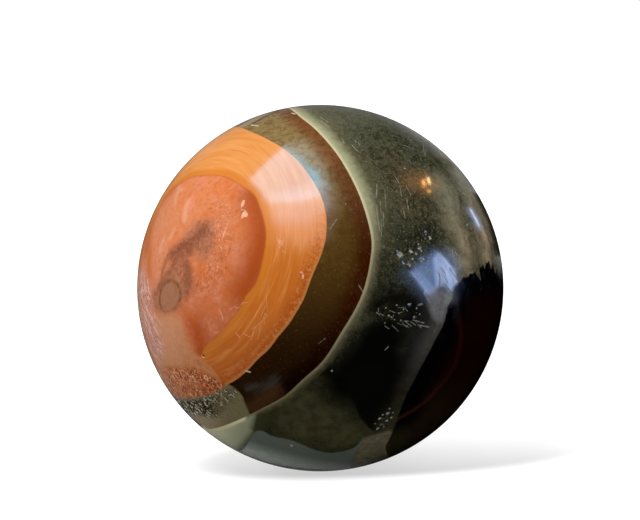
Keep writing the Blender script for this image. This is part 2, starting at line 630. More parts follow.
# %% [markdown]
# # The stone's material
#
# A material is a tree of nodes, and a long one is easy to lose one's way in. The palette
# below adds nodes in short calls: each takes numbers or the result of another call, and
# returns a socket to pass on. Colours are written as they look on a screen, from 0 to 255.
# The stone is then laid up in layers, as a painter would: each layer takes the colour so
# far and returns it with its own shape mixed over it.
#
# Patterns are measured in millimetres on the ball, so a noise of scale 2 has features
# about half a millimetre across.

# %% A palette of short calls
def paint(red, green, blue):
    """A screen colour as the linear values that a shader takes."""
    shares = [value / 255 for value in (red, green, blue)]
    return (*[s / 12.92 if s <= 0.04045 else ((s + 0.055) / 1.055) ** 2.4 for s in shares], 1)


class Palette:
    """Adds nodes to one material."""

    def __init__(self, name):
        self.material = bpy.data.materials.new(name)
        self.material.use_nodes = True
        self.tree = self.material.node_tree
        self.tree.nodes.clear()
        place = self.node("ShaderNodeTexCoord").outputs["Object"]
        self.mm = self.larger(place, 1 / MM)
        split = self.node("ShaderNodeSeparateXYZ", {0: self.mm})
        self.side, self.height = split.outputs["X"], split.outputs["Z"]

    def node(self, kind, values=(), **settings):
        made = self.tree.nodes.new(kind)
        for name, value in settings.items():
            setattr(made, name, value)
        for socket, value in dict(values).items():
            if isinstance(value, bpy.types.NodeSocket):
                self.tree.links.new(value, made.inputs[socket])
            else:
                made.inputs[socket].default_value = value
        return made

    def field(self, name, output="Fac"):
        return self.node("ShaderNodeAttribute", attribute_name=name).outputs[output]

    def larger(self, vector, times):
        values = {0: vector, "Scale": times}
        return self.node("ShaderNodeVectorMath", values, operation="SCALE").outputs[0]

    def sum(self, a, b, operation="ADD"):
        return self.node("ShaderNodeMath", {0: a, 1: b}, operation=operation).outputs[0]

    def times(self, a, b):
        return self.sum(a, b, "MULTIPLY")

    def most(self, a, b):
        return self.sum(a, b, "MAXIMUM")

    def size(self, a):
        return self.sum(a, 0.0, "ABSOLUTE")

    def times_and(self, a, times, more):
        """a times a number, and more on top."""
        return self.node("ShaderNodeMath", {0: a, 1: times, 2: more}, operation="MULTIPLY_ADD").outputs[0]

    def ramp(self, value, start, end, low=0.0, high=1.0):
        """From low to high, smoothly, as the value goes from start to end."""
        made = self.node("ShaderNodeMapRange", {"Value": value, "From Min": start, "From Max": end,
                                                "To Min": low, "To Max": high})
        made.interpolation_type = "SMOOTHSTEP"
        return made.outputs["Result"]

    def mix(self, share, under, over):
        made = self.node("ShaderNodeMix", {0: share, 6: under, 7: over}, data_type="RGBA")
        return made.outputs[2]

    def scaled(self, by, vector):
        return self.node("ShaderNodeMapping", {"Vector": vector, "Scale": by}).outputs[0]

    def noise(self, scale, detail=3.0, rough=0.5, vector=None, twist=0.0):
        values = {"Vector": vector or self.mm, "Scale": scale, "Detail": detail, "Roughness": rough,
                  "Distortion": twist}
        return self.node("ShaderNodeTexNoise", values).outputs["Fac"]

    def wave(self, *kind, **more):
        """A noise that swings about zero, by half of one each way at most."""
        return self.sum(self.noise(*kind, **more), 0.5, "SUBTRACT")

    def threads(self, scale, width, vector):
        """Thin winding lines: where a noise passes through its middle value."""
        return self.ramp(self.size(self.wave(scale, 3.0, 0.6, vector, 1.0)), width, 0.0)

    def strayed(self, by, scale):
        """The place in mm, moved about by noise, so that round shapes come out ragged."""
        cloud = self.node("ShaderNodeTexNoise", {"Vector": self.mm, "Scale": scale, "Detail": 2})
        halves = {0: cloud.outputs["Color"], 1: (0.5, 0.5, 0.5)}
        off = self.node("ShaderNodeVectorMath", halves, operation="SUBTRACT").outputs[0]
        moved = {0: self.mm, 1: self.larger(off, 2 * by)}
        return self.node("ShaderNodeVectorMath", moved, operation="ADD").outputs[0]

    def dots(self, spacing, widest, share, vector=None):
        """Scattered specks: 1 at the middle of each, about spacing mm apart."""
        cells = self.node("ShaderNodeTexVoronoi", {"Vector": vector or self.mm, "Scale": 1 / spacing})
        lot = self.node("ShaderNodeSeparateColor", {0: cells.outputs["Color"]}).outputs[0]
        size = self.ramp(lot, 1 - share, 1.0, 0.0, widest / 2 / spacing)
        inside = self.sum(size, cells.outputs["Distance"], "SUBTRACT")
        return self.ramp(inside, 0.0, 0.35 * widest / spacing)

    def inside(self, name, soft, ragged=0.0, scale=1.5, shift=0.0, detail=4.0):
        """1 inside a field's edge and 0 outside, over a soft width, with a ragged line."""
        edge = self.field(name)
        if ragged:
            edge = self.times_and(self.wave(scale, detail, 0.6), 2 * ragged, edge)
        return self.ramp(edge, shift - soft / 2, shift + soft / 2)


def tell(layer):
    print(f"with the {layer} the stone takes {len(stone.tree.nodes)} nodes")


stone = Palette("polished jasper")
tell("empty palette")

# %% [markdown]
# The green ground is a moss jasper: a grey olive with a dark growth all through it and
# pale flecks. The growth is read from three noises, as in the stone: broad clumps, crumbs
# a fifth of a millimetre across, and winding threads. It is strongest at the top and dies
# out below, where the ground is a smooth olive.

# %% Moss growth
CLUMPS, CRUMBS, THREADS = 0.74, 0.60, 0.55


def moss(p, colour):
    calm = p.most(p.inside("olive", 8), p.most(p.inside("slate", 6), p.inside("hem", 5)))
    lively = p.times(p.ramp(calm, 0, 1, 1, 0.15), p.ramp(p.height, -22, -4, 0.1, 1))
    lively = p.times(lively, p.ramp(p.inside("shoulder", 7, 1.5, 0.4), 0, 1, 1, 0.4))
    ragged = p.strayed(0.35, 1.3)
    clumps = p.ramp(p.noise(0.75, 8, 0.68, twist=0.7), 0.53, 0.44)
    crumbs = p.ramp(p.noise(2.8, 5, 0.65, ragged), 0.52, 0.42)
    threads = p.threads(0.9, 0.030, ragged)
    dark = p.most(p.times(clumps, CLUMPS), p.most(p.times(crumbs, CRUMBS), p.times(threads, THREADS)))
    colour = p.mix(p.times(dark, lively), colour, paint(26, 28, 17))
    light = p.times(p.ramp(p.noise(2.6, 5, 0.65, ragged), 0.54, 0.68), p.ramp(p.height, -4, 16, 0.2, 0.65))
    colour = p.mix(p.times(light, lively), colour, paint(136, 138, 110))
    flecks = p.dots(0.95, 0.22, 0.40, ragged)
    flecks = p.times(flecks, p.ramp(p.height, -2, 22, 0.15, 0.85))
    return p.mix(p.times(flecks, lively), colour, paint(190, 192, 168))


print("the growth darkens by", CLUMPS, "in clumps,", CRUMBS, "in crumbs and", THREADS, "in threads")

# %% [markdown]
# Under the growth the ground changes from place to place, in broad soft strokes: a khaki
# shoulder at the right that pales towards the edge, with streaks that fan out from the
# dark eye, a brownish mist, a slate grey slope beside the dark eye, and a zone as black
# as night in the middle. Low down lie a pale wedge with a dark fold and a grey veil.

# %% Shoulder and low ground
def shoulder(p, ground):
    spokes = p.noise(1.0, 4, 0.6, p.scaled((7, 7, 0.22), p.field("dark_eye", "Vector")))
    near_edge = p.ramp(p.side, 20, 31)
    dull = p.mix(near_edge, paint(104, 100, 76), paint(152, 134, 106))
    bright = p.mix(near_edge, paint(142, 136, 106), paint(200, 182, 150))
    khaki = p.mix(p.ramp(spokes, 0.38, 0.62), dull, bright)
    khaki = p.mix(p.ramp(p.height, 12, 24, 0, 0.7), khaki, paint(152, 154, 130))
    return p.mix(p.inside("shoulder", 7, 1.5, 0.4), ground, khaki)


def low_ground(p, ground):
    foot = p.mix(p.ramp(p.noise(1.0, 4, 0.6), 0.35, 0.65), paint(100, 94, 72), paint(118, 110, 86))
    colour = p.mix(p.inside("foot", 1.2, 0.3), ground, foot)
    wedge = p.mix(p.ramp(p.side, -23, -13), paint(234, 234, 194), paint(158, 162, 130))
    colour = p.mix(p.inside("wedge", 0.8, 0.15), colour, wedge)
    colour = p.mix(p.times(p.inside("fold", 2.0, 0.2), 0.9), colour, paint(58, 58, 38))
    slant = p.sum(p.height, p.times(p.side, 0.31))
    veil = p.mix(p.ramp(slant, -27.3, -32.2), paint(100, 108, 99), paint(184, 194, 184))
    veil = p.mix(p.ramp(p.noise(0.7, 4, 0.55), 0.35, 0.65, 0, 0.2), veil, paint(100, 108, 99))
    colour = p.mix(p.times(p.inside("veil", 0.5, 0.15), 0.94), colour, veil)
    return p.mix(p.times(p.inside("underline", 0.5, 0.1), 0.85), colour, paint(44, 46, 28))


print("the shoulder lies at the right, and the wedge, fold, veil and foot low down")

# %% [markdown]
# The ground itself goes from a grey olive at the top to a dark one in the middle. The
# strokes are laid over it one by one, then the growth, and last the darkest places and
# the low ground, which have none.

# %% Green ground
def green_ground(p):
    broad = p.noise(0.16, 3, 0.5)
    colour = p.mix(p.ramp(broad, 0.35, 0.65), paint(82, 84, 64), paint(92, 89, 66))
    colour = p.mix(p.ramp(p.height, 6, -14), colour, paint(50, 49, 30))
    colour = p.mix(p.times(p.inside("mist", 9, 2.0, 0.4), 0.55), colour, paint(90, 77, 54))
    colour = p.mix(p.times(p.inside("dusk", 6, 1.5, 0.4), 0.80), colour, paint(46, 46, 31))
    colour = shoulder(p, colour)
    colour = p.mix(p.inside("slate", 6, 0.8, 0.5), colour, paint(46, 46, 44))
    olive = p.mix(p.ramp(p.noise(0.5, 5, 0.6), 0.35, 0.65), paint(58, 55, 34), paint(76, 72, 47))
    colour = p.mix(p.inside("olive", 7, 1.5, 0.5), colour, olive)
    hem_shade = p.mix(p.ramp(p.height, -14, 2), paint(58, 55, 43), paint(102, 99, 97))
    colour = p.mix(p.times(p.inside("hem", 4.6, 0.5, 0.8), 0.85), colour, hem_shade)
    colour = p.mix(p.times(p.inside("clay", 1.6, 0.3), 0.85), colour, paint(140, 138, 142))
    colour = moss(p, colour)
    colour = p.mix(p.ramp(p.height, 31, 34, 0, 0.25), colour, paint(130, 132, 112))
    colour = p.mix(p.inside("night", 7.0, 2.2, 0.35), colour, paint(8, 8, 6))
    blob = p.times(p.inside("blob", 0.7, 0.12, 1.2), p.ramp(p.field("hem"), -0.3, -3.2))
    colour = p.mix(p.times(blob, 0.95), colour, paint(11, 12, 8))
    return low_ground(p, colour)


colour = green_ground(stone)
tell("green ground")

# %% [markdown]
# Where the brown ring ends, the stone laid down a thin cream line, and outside it a pale
# green halo that melts into the ground. Both are read from how far outside the brown
# ring's edge a place lies. They are bright at the top and dull below, and the line is
# bright once more under the ash grey patch.

# %% Halo and cream line
def halo(p, ground):
    wave = p.wave(0.8, 5, 0.6)
    outside = p.times_and(wave, 1.8, p.times(p.field("brown"), -1.0))
    width = p.sum(p.ramp(p.height, -22, 4, 1.6, 2.2), p.ramp(p.height, 12, 24, 0, 1.2))
    near = p.ramp(p.sum(outside, width, "DIVIDE"), 1.0, 0.0)
    reach = p.times(near, p.ramp(p.field("wedge"), 0.2, -0.8))
    haze = p.times(p.ramp(outside, 7.5, 1.0), p.ramp(p.height, 10, 20, 0, 0.5))
    ground = p.mix(haze, ground, paint(116, 110, 80))
    shade = p.mix(p.ramp(p.height, -12, 12), paint(98, 92, 64), paint(126, 122, 92))
    shade = p.mix(p.ramp(p.height, 10, 24), shade, paint(184, 184, 146))
    colour = p.mix(p.times(reach, 0.9), ground, shade)
    bright = p.inside("cream", 1.2)
    uneven = p.sum(p.field("brown"), p.times(wave, 0.5))
    inner_edge = p.ramp(bright, 0, 1, -0.72, -1.7)
    line = p.ramp(uneven, inner_edge, -0.16)
    line = p.times(line, p.most(p.ramp(p.height, -24, 10, 0.75, 1.0), bright))
    cream = p.mix(p.ramp(p.height, -16, 10), paint(130, 118, 90), paint(170, 158, 126))
    cream = p.mix(p.ramp(p.height, 10, 22), cream, paint(216, 204, 162))
    cream = p.mix(bright, cream, paint(226, 220, 176))
    return p.mix(line, colour, cream)


colour = halo(stone, colour)
tell("halo")

# %% [markdown]
# The dark eye is almost black, with a red-brown heart and one faint vein. Its upper edge
# frays into splinters that run out from its middle. The dark_eye attribute holds the
# bearing round the eye, so noise read along it makes fibres that point the right way.

# %% Dark eye
def dark_eye(p, ground):
    spokes = p.scaled((9, 9, 0.35), p.field("dark_eye", "Vector"))
    fibres = p.wave(1.0, 4, 0.6, spokes)
    fray = p.ramp(p.height, -4, 4, 0.35, 2.2)
    edge = p.sum(p.field("dark"), p.times(fibres, fray))
    black = p.ramp(edge, -0.10, 0.20)
    depth = p.sum(p.field("dark"), p.times(fibres, 3.0))
    heart = p.mix(p.ramp(p.height, -8, -24), paint(21, 2, 0), paint(34, 24, 10))
    rind = p.mix(p.ramp(p.height, -19, -25), paint(3, 2, 5), paint(44, 38, 22))
    colour = p.mix(p.times(p.ramp(depth, 2.6, 7.0), 0.95), rind, heart)
    frayed = p.times(p.ramp(p.height, -5, 1), p.ramp(p.field("dark"), 5, 1))
    frayed = p.times(frayed, p.ramp(fibres, 0.03, 0.08))
    colour = p.mix(p.times(frayed, 0.5), colour, paint(38, 40, 44))
    vein = p.mix(p.ramp(p.height, -8, -20), paint(56, 16, 12), paint(72, 38, 20))
    colour = p.mix(p.times(p.inside("vein", 1.6, 0.3), 0.7), colour, vein)
    return p.mix(black, ground, colour)


colour = dark_eye(stone, colour)
tell("dark eye")

# %% [markdown]
# The brown ring is olive on its inner side and red-brown on its outer side, and both go
# almost black towards the bottom. Close up it is clouded, with a crack and a pale strip
# near the top, a film of grey at its lower end, and an ash grey patch that closes it.

# %% Brown ring
def brown_ring(p, ground):
    across = p.times_and(p.wave(0.5, 4, 0.6), 3.0, p.field("brown"))
    inner = p.mix(p.ramp(p.height, -6, 18), paint(42, 22, 4), paint(92, 66, 25))
    inner = p.mix(p.ramp(p.height, 16, 32), inner, paint(146, 122, 78))
    outer = p.mix(p.ramp(p.height, -12, 12), paint(16, 2, 0), paint(60, 22, 2))
    outer = p.mix(p.ramp(p.height, 12, 32), outer, paint(126, 80, 46))
    colour = p.mix(p.ramp(across, 1.0, 4.6), outer, inner)
    low = p.ramp(p.height, -18, 12)
    clouds = p.ramp(p.noise(0.9, 6, 0.62, twist=0.4), 0.55, 0.38)
    clouds = p.times(clouds, p.ramp(p.height, -16, 10, 0.25, 0.45))
    colour = p.mix(clouds, colour, p.mix(low, paint(20, 12, 5), paint(70, 42, 15)))
    dust = p.times(p.ramp(p.noise(2.6, 4, 0.6), 0.60, 0.72), p.ramp(p.height, -12, 24, 0.06, 0.35))
    colour = p.mix(dust, colour, paint(168, 142, 96))
    colour = p.mix(p.times(p.inside("brim", 0.8, 0.3), 0.7), colour, paint(174, 146, 122))
    colour = p.mix(p.times(p.inside("crack", 0.35, 0.25, 2.0), 0.9), colour, paint(56, 34, 16))
    colour = p.mix(p.times(p.inside("ember", 3.0, 0.8, 0.7), 0.7), colour, paint(84, 54, 30))
    along = p.scaled((3, 3, 2), p.field("banded_eye", "Vector"))
    streaked = p.ramp(p.noise(1.0, 4, 0.6, along), 0.40, 0.60, 0.3, 0.9)
    colour = p.mix(p.times(p.inside("gauze", 2.0, 0.7, 1.0), streaked), colour, paint(64, 62, 55))
    ash = p.mix(p.ramp(p.side, -22, -16), paint(170, 154, 120), paint(124, 114, 82))
    ash = p.mix(p.times(p.ramp(p.noise(1.6, 5, 0.6), 0.52, 0.40), 0.35), ash, paint(88, 80, 56))
    colour = p.mix(p.inside("ash", 0.6, 0.15, shift=-0.3), colour, ash)
    return p.mix(p.inside("brown", 0.14, 0.05, 2.5), ground, colour)


colour = brown_ring(stone, colour)
tell("brown ring")

# %% [markdown]
# The ochre ring grew as fibres laid along the ring, so its noise is stretched that way:
# close-set across the ring and long around it. Next to the core it is a clear amber. At
# its outer edge it is rough and darker, before a thin dull lip. Its lower end is the
# belt, where open pores have left a grain of light and dark streaks.

# %% Ochre ring
def pored_belt(p, ground):
    ragged = p.strayed(0.25, 1.8)
    streaks = p.noise(2.2, 5, 0.65, p.scaled((1.0, 1.0, 0.55), ragged), twist=0.6)
    belt = p.mix(p.ramp(p.side, -29, -20), paint(204, 132, 94), paint(168, 86, 44))
    belt = p.mix(p.times(p.ramp(streaks, 0.53, 0.60), 0.8), belt, paint(240, 172, 122))
    belt = p.mix(p.times(p.ramp(streaks, 0.48, 0.40), 0.85), belt, paint(122, 50, 24))
    return p.mix(p.inside("belt", 1.2, 0.8), ground, belt)


def ochre_ring(p, ground):
    along = p.scaled((2.4, 2.4, 1.5), p.field("banded_eye", "Vector"))
    streaks = p.noise(1.0, 3, 0.55, along, twist=0.4)
    colour = p.mix(p.ramp(p.height, -12, 8), paint(190, 103, 42), paint(208, 115, 40))
    colour = p.mix(p.ramp(p.height, 8, 28), colour, paint(231, 153, 84))
    colour = p.mix(p.times(p.ramp(streaks, 0.50, 0.66), 0.26), colour, paint(250, 178, 110))
    darker = p.mix(p.ramp(p.height, 4, 20), paint(178, 88, 28), paint(214, 118, 46))
    colour = p.mix(p.times(p.ramp(streaks, 0.50, 0.34), 0.35), colour, darker)
    amber = p.ramp(p.field("core"), -2.2, -0.7)
    clear = p.mix(p.ramp(p.height, -14, 18), paint(194, 116, 44), paint(216, 126, 40))
    colour = p.mix(p.times(amber, 0.75), colour, clear)
    margin = p.ramp(p.field("ochre"), 3.4, 0.6)
    margin = p.times(margin, p.ramp(p.height, 26, 12))
    crumbs = p.noise(1.9, 5, 0.62, p.strayed(0.3, 1.5))
    rough = p.times(margin, p.ramp(p.height, 20, 4))
    colour = p.mix(p.times(rough, 0.7), colour, paint(176, 84, 30))
    colour = p.mix(p.times(p.times(margin, p.ramp(crumbs, 0.50, 0.38)), 0.5), colour, paint(162, 72, 24))
    colour = p.mix(p.times(p.times(margin, p.ramp(crumbs, 0.54, 0.66)), 0.5), colour, paint(240, 160, 100))
    lip = p.ramp(p.field("ochre"), 0.75, 0.25)
    colour = p.mix(p.times(lip, p.ramp(p.height, 24, 10, 0.1, 0.5)), colour, paint(204, 142, 82))
    colour = pored_belt(p, colour)
    return p.mix(p.inside("ochre", 0.18, 0.10, 2.5), ground, colour)


colour = ochre_ring(stone, colour)
tell("ochre ring")

# %% [markdown]
# The core is salmon, redder towards its right edge. In its middle hangs a body of smoke
# with wisps trailing from it, and a round clear place like a drop of glass. Right of the
# smoke the stone is crazed with fine cracks. At the left it has pale streaks and an
# orange rim.

# %% Smoke and crazing
def smoke(p, colour):
    ragged = p.noise(0.9, 7, 0.66, twist=0.8)
    cloud = p.inside("smoke", 3.0, 1.4, 0.8, detail=6)
    shade = p.mix(p.ramp(ragged, 0.38, 0.60), paint(138, 84, 60), paint(176, 120, 92))
    colour = p.mix(p.times(cloud, 0.80), colour, shade)
    wisps = p.times(p.inside("wisps", 1.8, 1.0, 0.9, detail=6), p.ramp(ragged, 0.66, 0.44, 0.45, 0.85))
    colour = p.mix(wisps, colour, paint(132, 76, 54))
    glass = p.times(p.inside("glass", 1.8, 0.5, 1.0), p.ramp(ragged, 0.30, 0.60, 0.55, 0.9))
    colour = p.mix(glass, colour, paint(166, 114, 86))
    rim = p.ramp(p.size(p.sum(p.field("glass"), 0.1)), 0.65, 0.1)
    rim = p.times(p.times(rim, p.ramp(ragged, 0.40, 0.58)), p.ramp(p.height, -3, 1))
    return p.mix(p.times(rim, 0.7), colour, paint(100, 60, 42))


def crazed(p, colour):
    here = p.inside("grain", 3.0, 1.0)
    ragged = p.strayed(0.35, 1.2)
    crumbs = p.noise(2.0, 5, 0.65, ragged)
    cracks = p.times(p.threads(1.1, 0.030, ragged), 0.6)
    colour = p.mix(p.times(here, cracks), colour, paint(140, 66, 40))
    colour = p.mix(p.times(here, p.ramp(crumbs, 0.54, 0.66, 0, 0.65)), colour, paint(238, 166, 122))
    return p.mix(p.times(here, p.ramp(crumbs, 0.45, 0.36, 0, 0.5)), colour, paint(150, 74, 46))


print("smoke, wisps, drop and crazing lie inside the core")

# %% [markdown]
# The core's own colour is a salmon that changes a little from place to place, in hue by
# broad clouds and in depth by a fine grain. The smoke and the crazing go over it.

# %% Salmon core
def salmon_core(p, ground):
    grain = p.noise(1.3, 6, 0.6, twist=0.5)
    broad = p.noise(0.28, 4, 0.6, twist=0.6)
    colour = p.mix(p.ramp(p.height, -12, 22), paint(184, 97, 60), paint(221, 132, 84))
    colour = p.mix(p.ramp(broad, 0.50, 0.66, 0, 0.55), colour, paint(226, 140, 112))
    colour = p.mix(p.ramp(broad, 0.50, 0.34, 0, 0.50), colour, paint(216, 108, 48))
    colour = p.mix(p.times(p.ramp(p.side, -24, -30), 0.6), colour, paint(218, 142, 104))
    colour = p.mix(p.times(p.ramp(grain, 0.50, 0.68), 0.22), colour, paint(236, 158, 118))
    colour = p.mix(p.times(p.ramp(grain, 0.48, 0.34), 0.26), colour, paint(170, 86, 52))
    colour = p.mix(p.times(p.inside("rust", 6.2, 0.5), 0.95), colour, paint(172, 73, 22))
    colour = p.mix(p.times(p.inside("rim", 3.4, 0.6), 0.80), colour, paint(198, 102, 48))
    pale = p.inside("pale", 1.8, 0.4, 1.5)
    colour = p.mix(p.times(pale, 0.55), colour, paint(234, 188, 150))
    colour = crazed(p, smoke(p, colour))
    edge = p.ramp(p.field("core"), 0.6, 0.0)
    colour = p.mix(p.times(edge, 0.45), colour, paint(176, 82, 36))
    return p.mix(p.inside("core", 0.5, 0.16, 2.0), ground, colour)


colour = salmon_core(stone, colour)
tell("salmon core")

# %% [markdown]
# Below the core lies a clear lens of paler stone. It has a sharp edge at the lower right
# and melts into the core at the top, so its edge gets softer with height.

# %% Clear lens
def clear_lens(p, ground):
    sharpness = p.ramp(p.height, -6, -10, 0.35, 2.2)
    share = p.ramp(p.times(p.field("lens"), sharpness), -0.5, 0.5)
    cloud = p.times(p.ramp(p.noise(0.8, 5, 0.6), 0.35, 0.65), 0.4)
    colour = p.mix(p.ramp(p.side, -28, -22), paint(202, 140, 104), paint(186, 114, 70))
    colour = p.mix(cloud, colour, paint(214, 156, 118))
    colour = p.mix(p.ramp(p.field("lens"), 1.0, 0.1, 0, 0.5), colour, paint(204, 132, 80))
    above_belt = p.ramp(p.field("belt"), 0.9, -0.9)
    return p.mix(p.times(share, above_belt), ground, colour)


colour = clear_lens(stone, colour)
tell("clear lens")

# %% [markdown]
# At the ball's left edge a lilac frost of rubbed stone lies over the core and the ochre
# alike. It is partly in streaks that follow the rings, and partly crackled.

# %% Lilac frost
def frosted(p, ground):
    along = p.scaled((3.0, 3.0, 2.0), p.field("banded_eye", "Vector"))
    streaks = p.times(p.noise(1.0, 5, 0.65, along, twist=0.4), 0.45)
    rubbed = p.sum(streaks, p.times(p.noise(1.0, 6, 0.7, twist=1.5), 0.55))
    frost = p.times(p.inside("frost", 3.4, 0.8), p.ramp(p.field("ochre"), -0.5, 0.5))
    colour = p.mix(p.times(frost, 0.8), ground, paint(208, 152, 134))
    colour = p.mix(p.times(p.times(frost, p.ramp(rubbed, 0.50, 0.58)), 0.9), colour, paint(240, 204, 198))
    return p.mix(p.times(p.times(frost, p.ramp(rubbed, 0.49, 0.40)), 0.7), colour, paint(160, 98, 72))


colour = frosted(stone, colour)
tell("lilac frost")

# %% [markdown]
# Wear goes on last. Pits are raw stone: some are dark inside with a pale lip, and some
# are pale inside with a dark lip, which is what their lot says. The charred zone under
# the belt is soot dark between them. Chips show pale stone, pink in the orange eye and
# cream on the green. Scratches are only a little paler than the polish round them, and
# they come and go along their length. Where the ball was scuffed there are fine specks.

# %% Wear
def worn(p, colour):
    charred = p.inside("charred", 1.6, 0.5, 1.5)
    soot = p.times(charred, p.ramp(p.noise(2.2, 5, 0.6), 0.36, 0.50))
    dense = p.ramp(p.side, -17, -21, 0.4, 0.95)
    colour = p.mix(p.times(soot, dense), colour, paint(26, 23, 13))
    in_orange = p.ramp(p.field("ochre"), -0.5, 0.5)
    pale = p.mix(in_orange, paint(222, 218, 190), paint(244, 178, 130))
    deep = p.mix(in_orange, paint(12, 11, 7), paint(116, 48, 22))
    pit, lot = p.field("pit"), p.field("pit_lot")
    lip = p.times(p.ramp(pit, 0.02, 0.2), p.ramp(pit, 0.85, 0.45))
    lip = p.times(lip, p.ramp(p.noise(1.4, 3, 0.6), 0.38, 0.52, 0.35, 0.95))
    colour = p.mix(lip, colour, p.mix(lot, pale, deep))
    crystals = p.times(p.ramp(p.noise(3.0, 3, 0.6), 0.44, 0.56), lot)
    floor = p.mix(crystals, p.mix(lot, deep, p.mix(0.5, deep, pale)), pale)
    colour = p.mix(p.times(p.ramp(pit, 0.5, 0.85), 0.9), colour, floor)
    bare = p.mix(in_orange, paint(196, 192, 166), paint(240, 178, 136))
    colour = p.mix(p.times(p.inside("chips", 0.22), 0.85), colour, bare)
    broken = p.ramp(p.noise(1.6, 3, 0.6), 0.38, 0.60, 0.08, 0.5)
    colour = p.mix(p.times(p.inside("scratch", 0.16), broken), colour, bare)
    specks = p.dots(2.3, 0.34, 0.35, p.strayed(0.25, 2.0))
    colour = p.mix(p.times(specks, 0.5), colour, bare)
    scuffs = p.times(p.inside("scuffed", 2.0, 0.8), p.dots(0.75, 0.26, 0.45, p.strayed(0.2, 2.0)))
    return p.mix(p.times(scuffs, 0.5), colour, bare)


colour = worn(stone, colour)
tell("wear")

# %% [markdown]
# The polish is the gloss of the stone itself: jasper bends light by 1.54, which is all
# that a shader has to know to mirror a window rightly. Smears make the gloss a little
# softer from place to place, and pits, chips and scratches are dull.

# %% Polish
JASPER_IOR = 1.54
DULL_WHERE_WORN = 0.55


def polished(p, colour):
    marks = p.most(p.inside("chips", 0.3), p.inside("scratch", 0.2))
    marks = p.most(p.ramp(p.field("pit"), 0.0, 0.3), marks)
    smear = p.ramp(p.noise(0.5, 4, 0.6), 0.3, 0.7, 0.08, 0.13)
    rough = p.sum(smear, p.times(marks, DULL_WHERE_WORN))
    values = {"Base Color": colour, "Roughness": rough, "IOR": JASPER_IOR}
    gloss = p.node("ShaderNodeBsdfPrincipled", values)
    p.node("ShaderNodeOutputMaterial", {"Surface": gloss.outputs[0]})
    return p.material


ball.data.materials.append(polished(stone, colour))
print("the jasper has", len(ball.data.materials[0].node_tree.nodes), "nodes")

# %% [markdown]
# # Floor, windows and soft light
#
# The ball rests on a pale floor that takes its shadow. To the camera the floor glows a
# little, so that it turns white away from the shadow and runs into the white behind it
# without a line. Its light on the ball is that of plain pale paper.
#
# A polished black stone shows the whole room. A white room would wash it grey, so the
# white behind the ball is there in full for the camera, and as the faint sheen of a dim
# room in the polish. The long soft shadow is that of a lamp, and a soft oval on the floor
# deepens it, lighter behind the ball than in front.

# %% Floor
FLOOR_REACH = 0.9
FLOOR_CORNERS = 96
FLOOR_PAPER = 0.45
GLOW_IN_SHADOW, GLOW_BEHIND, GLOW_OUTSIDE = 0.58, 0.86, 1.0
SHADOW_AT = (0.0155, 0.0078)
SHADOW_HALF = (0.046, 0.0158)
SHADOW_TURN = math.radians(13)
SHADOW_FADES = (0.80, 1.14)
FRONT_TO_BACK = (-0.006, 0.020)
DIM_ROOM = 0.012


def rays_that_see(tree, polish_share):
    """1 for the camera and for see-through rays, and a smaller share for mirrored rays."""
    path = tree.nodes.new("ShaderNodeLightPath")
    mirrored = tree.nodes.new("ShaderNodeMath")
    mirrored.operation = "MULTIPLY_ADD"
    tree.links.new(path.outputs["Is Glossy Ray"], mirrored.inputs[0])
    mirrored.inputs[1].default_value = polish_share
    tree.links.new(path.outputs["Is Camera Ray"], mirrored.inputs[2])
    total = tree.nodes.new("ShaderNodeMath")
    total.operation = "ADD"
    tree.links.new(mirrored.outputs[0], total.inputs[0])
    tree.links.new(path.outputs["Is Transmission Ray"], total.inputs[1])
    return total.outputs[0]


bpy.ops.object.select_all(action="DESELECT")
bpy.ops.mesh.primitive_circle_add(
    vertices=FLOOR_CORNERS, radius=FLOOR_REACH, fill_type="NGON", location=(0, 0, low.z))
floor = bpy.context.object
floor.name = "floor"
floor.visible_glossy = False

paper = bpy.data.materials.new("pale paper")
paper.use_nodes = True
tree = paper.node_tree
tree.nodes.clear()
matte = tree.nodes.new("ShaderNodeBsdfDiffuse")
matte.inputs["Color"].default_value = (FLOOR_PAPER, FLOOR_PAPER, FLOOR_PAPER, 1)
where_on_floor = tree.nodes.new("ShaderNodeTexCoord")
shadow_frame = tree.nodes.new("ShaderNodeMapping")
shadow_frame.vector_type = "TEXTURE"
shadow_frame.inputs["Location"].default_value = (*SHADOW_AT, low.z)
shadow_frame.inputs["Rotation"].default_value = (0, 0, SHADOW_TURN)
shadow_frame.inputs["Scale"].default_value = (*SHADOW_HALF, 1)
tree.links.new(where_on_floor.outputs["Object"], shadow_frame.inputs["Vector"])
from_middle = tree.nodes.new("ShaderNodeVectorMath")
from_middle.operation = "LENGTH"
tree.links.new(shadow_frame.outputs[0], from_middle.inputs[0])
depth_on_floor = tree.nodes.new("ShaderNodeSeparateXYZ")
tree.links.new(where_on_floor.outputs["Object"], depth_on_floor.inputs[0])
lighter_behind = tree.nodes.new("ShaderNodeMapRange")
glow = tree.nodes.new("ShaderNodeMapRange")
glow.interpolation_type = "SMOOTHSTEP"
for spread, values in ((lighter_behind, (*FRONT_TO_BACK, GLOW_IN_SHADOW, GLOW_BEHIND)),
                       (glow, (*SHADOW_FADES, GLOW_IN_SHADOW, GLOW_OUTSIDE))):
    for socket, value in zip(("From Min", "From Max", "To Min", "To Max"), values):
        spread.inputs[socket].default_value = value
tree.links.new(depth_on_floor.outputs["Y"], lighter_behind.inputs["Value"])
tree.links.new(lighter_behind.outputs["Result"], glow.inputs["To Min"])
tree.links.new(from_middle.outputs["Value"], glow.inputs["Value"])
seen_glow = tree.nodes.new("ShaderNodeMath")
seen_glow.operation = "MULTIPLY"
tree.links.new(glow.outputs["Result"], seen_glow.inputs[0])
tree.links.new(rays_that_see(tree, DIM_ROOM), seen_glow.inputs[1])
shine = tree.nodes.new("ShaderNodeEmission")
